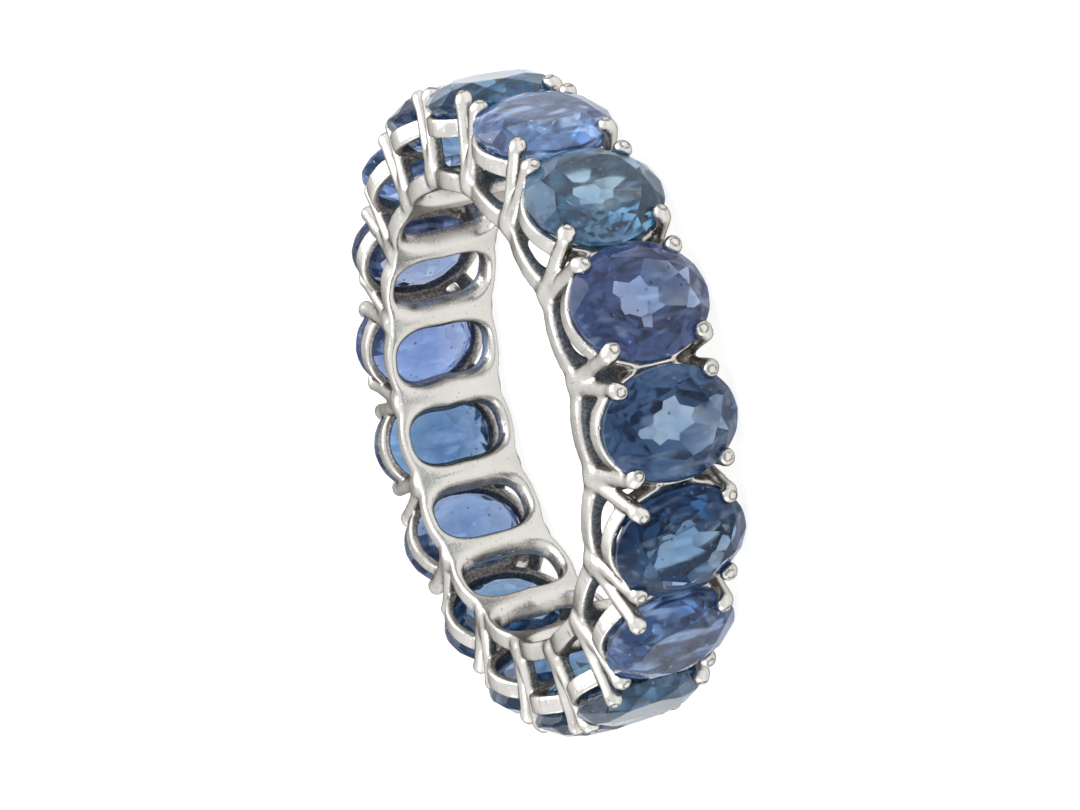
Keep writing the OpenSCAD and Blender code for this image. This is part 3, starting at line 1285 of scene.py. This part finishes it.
@dataclass(frozen=True)
class SapphireFinish:
    """Blue stone: what each millimetre takes out of the light, with fine silk and specks in it, and a painted
    glow for its haziness.

    A pair is a range: where an effect starts and where it is full, or its least and its most.
    """

    hue: Hue
    taken: Triple
    # Colour and strength of the painted glow that gives the stone its haziness
    haze_glow: Triple
    haze_glow_strength: float = 0.02
    silk: Triple = (0.68, 0.79, 0.93)
    clear: Triple = (1.0, 1.0, 1.0)
    dark_speck: Triple = (0.1, 0.12, 0.16)
    most_taken: float = 1.5
    ior: float = 1.77
    surface_tint: Triple = (0.9, 1.0, 1.2)
    cloud: Grain = Grain(800.0, 2.0)
    cloud_range: Pair = (0.38, 0.64)
    cloud_roughness: Pair = (0.05, 0.15)
    speck_scale: float = 2600.0
    speck_range: Pair = (0.09, 0.2)
    # Dark specks are inclusions in the stone's colour; bright specks are painted glints that shine with the
    # painted glow
    dark_share: Pair = (0.35, 0.31)
    bright_share: Pair = (0.56, 0.6)
    # Streaks of silk painted as glow: their colour, strength, grain, stretch, turn and range
    wisp_glow_colour: Triple = (0.5, 0.68, 1.0)
    wisp_glow_gain: float = 9.0
    wisp: Grain = Grain(2600.0, 1.0)
    wisp_stretch: float = 0.16
    wisp_turn: float = 0.7
    wisp_first: float = 0.5
    wisp_glow_range: Pair = (0.5, 0.68)
    wisp_glow_zone: Pair = (0.44, 0.6)
    # A cloud that makes the painted glow of the haziness fainter or stronger over the stone
    mist_glow: Grain = Grain(1700.0, 2.0)
    mist_glow_levels: Pair = (0.3, 1.9)
    mist_glow_range: Pair = (0.36, 0.62)

    def material(self, number: int, cut: StoneCut) -> bpy.types.Material:
        """Makes the material of one stone: clouds, dark specks, and a painted glow in streaks of silk, in
        bright specks and for its haziness.

        Args:
            number: The stone's number, from which the wisps take their direction.
            cut: The stone.

        Returns:
            The stone's material.
        """
        nodes = Nodes(f"{self.hue.value}_{number + 1:02d}")
        glint = tuple(min(1.0, share * cut.gloss) for share in self.surface_tint)
        nodes.feed(Transmission_Weight=1.0, IOR=self.ior, Specular_Tint=(*glint, 1))
        cloud = nodes.noise(self.cloud)
        silky = nodes.ramp(cloud, self.cloud_range)
        away, own = nodes.specks(self.speck_scale)
        speck = nodes.ramp(away, self.speck_range, nodes.FALL)
        # The bright specks are painted glints, fed into the painted glow below
        dark, bright = (
            nodes.product(speck, nodes.ramp(own, share)) for share in (self.dark_share, self.bright_share)
        )
        nodes.feed(
            Roughness=nodes.ramp(silky, (0.0, 1.0), self.cloud_roughness),
            Base_Color=nodes.blend(dark, nodes.blend(silky, self.clear, self.silk), self.dark_speck),
        )
        streaks = nodes.streaks(self.wisp, self.wisp_stretch, number * self.wisp_turn + self.wisp_first)
        glowing_wisps = nodes.product(nodes.ramp(streaks, self.wisp_glow_range), nodes.ramp(cloud, self.wisp_glow_zone))
        # Painted glow for the haziness: faint in thin places, stronger in thick ones
        thin, thick = (
            tuple(share * light / self.wisp_glow_gain for share in self.haze_glow) for light in self.mist_glow_levels
        )
        mist_glow = nodes.blend(nodes.ramp(nodes.noise(self.mist_glow), self.mist_glow_range), thin, thick)
        # Painted glow: the haziness, the streaks of silk and the bright specks give off light of their own
        nodes.feed(
            Emission_Color=nodes.blend(nodes.sum("MAXIMUM", glowing_wisps, bright), mist_glow, self.wisp_glow_colour),
            Emission_Strength=self.haze_glow_strength * self.wisp_glow_gain * cut.milk_glow,
        )
        left = (1 - taken * cast / self.most_taken for taken, cast in zip(self.taken, cut.cast))
        density = self.most_taken * cut.shade / MM
        inside = nodes.add("VolumeAbsorption", Color=(*left, 1), Density=density)
        nodes.fill(nodes.tree.nodes["Material Output"], Volume=inside.outputs["Volume"])
        return nodes.material


# For each hue: what it takes out of the light, and the colour of its painted glow
SAPPHIRES = {
    Hue.TEAL: SapphireFinish(Hue.TEAL, (0.74, 0.51, 0.41), (0.20, 0.52, 0.90)),
    Hue.DEEP: SapphireFinish(Hue.DEEP, (0.76, 0.57, 0.43), (0.20, 0.42, 1.00)),
    Hue.VIOLET: SapphireFinish(Hue.VIOLET, (0.68, 0.60, 0.36), (0.34, 0.42, 1.00)),
    Hue.STEEL: SapphireFinish(Hue.STEEL, (0.60, 0.44, 0.23), (0.46, 0.56, 1.00)),
}


@dataclass(frozen=True)
class Softbox:
    """A square lamp that faces the ring: its place and size in metres, its power in watts."""

    name: str
    place: Triple
    size: float
    power: float


@dataclass
class Studio:
    """A plain pale light table, soft light all round, and the camera at the photograph's angle.

    The camera's place, lens and sensor are in millimetres. The floor's size and the camera's sight, from the
    nearest to the farthest that it sees, are in metres.
    """

    camera_at: Triple = (105.713, 15.171, 45.710)
    right: Triple = (0.39512697, -0.17199686, -0.90238116)
    up: Triple = (-0.05445482, 0.97620272, -0.20991171)
    lens: float = 106.684
    sensor: float = 36.0
    sight: Pair = (0.005, 10.0)
    floor_size: float = 1.2
    floor_colour: Triple = (0.3, 0.3, 0.3)
    floor_roughness: float = 0.7
    floor_glow: float = 0.82
    room_colour: Triple = (0.97, 0.98, 1.0)
    room_light: float = 1.15
    box_light: float = 0.6
    softboxes: tuple[Softbox, ...] = (
        Softbox("softbox_high", (-0.10, 0.24, 0.36), 0.5, 3.0),
        Softbox("softbox_side", (0.10, -0.34, 0.26), 0.30, 0.9),
    )

    def build_camera(self) -> None:
        """Sets the camera up."""
        data = bpy.data.cameras.new("camera")
        data.lens, data.sensor_width = self.lens, self.sensor
        data.clip_start, data.clip_end = self.sight
        camera = new_object("camera", data)
        right, up = Vector(self.right), Vector(self.up)
        turn = Matrix((right, up, right.cross(up))).transposed().to_4x4()
        camera.matrix_world = Matrix.Translation(Vector(self.camera_at) * MM) @ turn
        bpy.context.scene.camera = camera

    def build_floor(self) -> bpy.types.Object:
        """Lays the floor.

        Returns:
            The floor.
        """
        half = self.floor_size / 2
        corners = np.array([(-half, -half, 0), (half, -half, 0), (half, half, 0), (-half, half, 0)])
        floor = mesh_object("floor", corners, np.array([[0, 1, 2, 3]]))
        paint = Nodes("pale_floor")
        paint.feed(Base_Color=(*self.floor_colour, 1), Roughness=self.floor_roughness)
        paint.feed(Emission_Color=(1, 1, 1, 1), Emission_Strength=self.floor_glow)
        floor.data.materials.append(paint.material)
        return floor

    def build_light(self) -> None:
        """Hangs the lights."""
        world = bpy.data.worlds.new("soft_room")
        world.use_nodes = True
        sky = world.node_tree.nodes["Background"]
        sky.inputs["Color"].default_value = (*self.room_colour, 1)
        sky.inputs["Strength"].default_value = self.room_light
        bpy.context.scene.world = world
        for box in self.softboxes:
            data = bpy.data.lights.new(box.name, "AREA")
            data.shape, data.size, data.energy = "SQUARE", box.size, box.power * self.box_light
            lamp = new_object(box.name, data)
            lamp.location = box.place
            lamp.rotation_euler = (-Vector(box.place)).to_track_quat("-Z", "Y").to_euler()

    def build(self) -> None:
        """Sets the whole studio up."""
        self.build_camera()
        self.build_floor()
        self.build_light()
        bpy.context.scene.view_settings.view_transform = "Standard"


def main() -> None:
    """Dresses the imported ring: the studio, then the setting, then each stone."""
    logging.basicConfig(level=logging.INFO, format="%(name)s: %(message)s")
    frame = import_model()
    sizes = RingSizes.from_frame(frame["nodes"])
    Studio().build()
    cuts = STONES[:sizes.count]
    setting = Setting(sizes, cuts).build()
    setting.data.materials.append(WhiteGoldFinish().material())
    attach(setting, BODY)
    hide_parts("setting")
    LOG.info("%s: %d faces", setting.name, len(setting.data.polygons))
    for number, cut in enumerate(cuts):
        stone = CutStone(number, cut, sizes)
        piece = stone.build()
        piece.data.materials.append(SAPPHIRES[cut.hue].material(number, cut))
        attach(piece, BODY)
        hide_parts(stone.name)
        LOG.info("%s: %d facets", piece.name, len(piece.data.polygons))


if __name__ == "__main__":
    main()
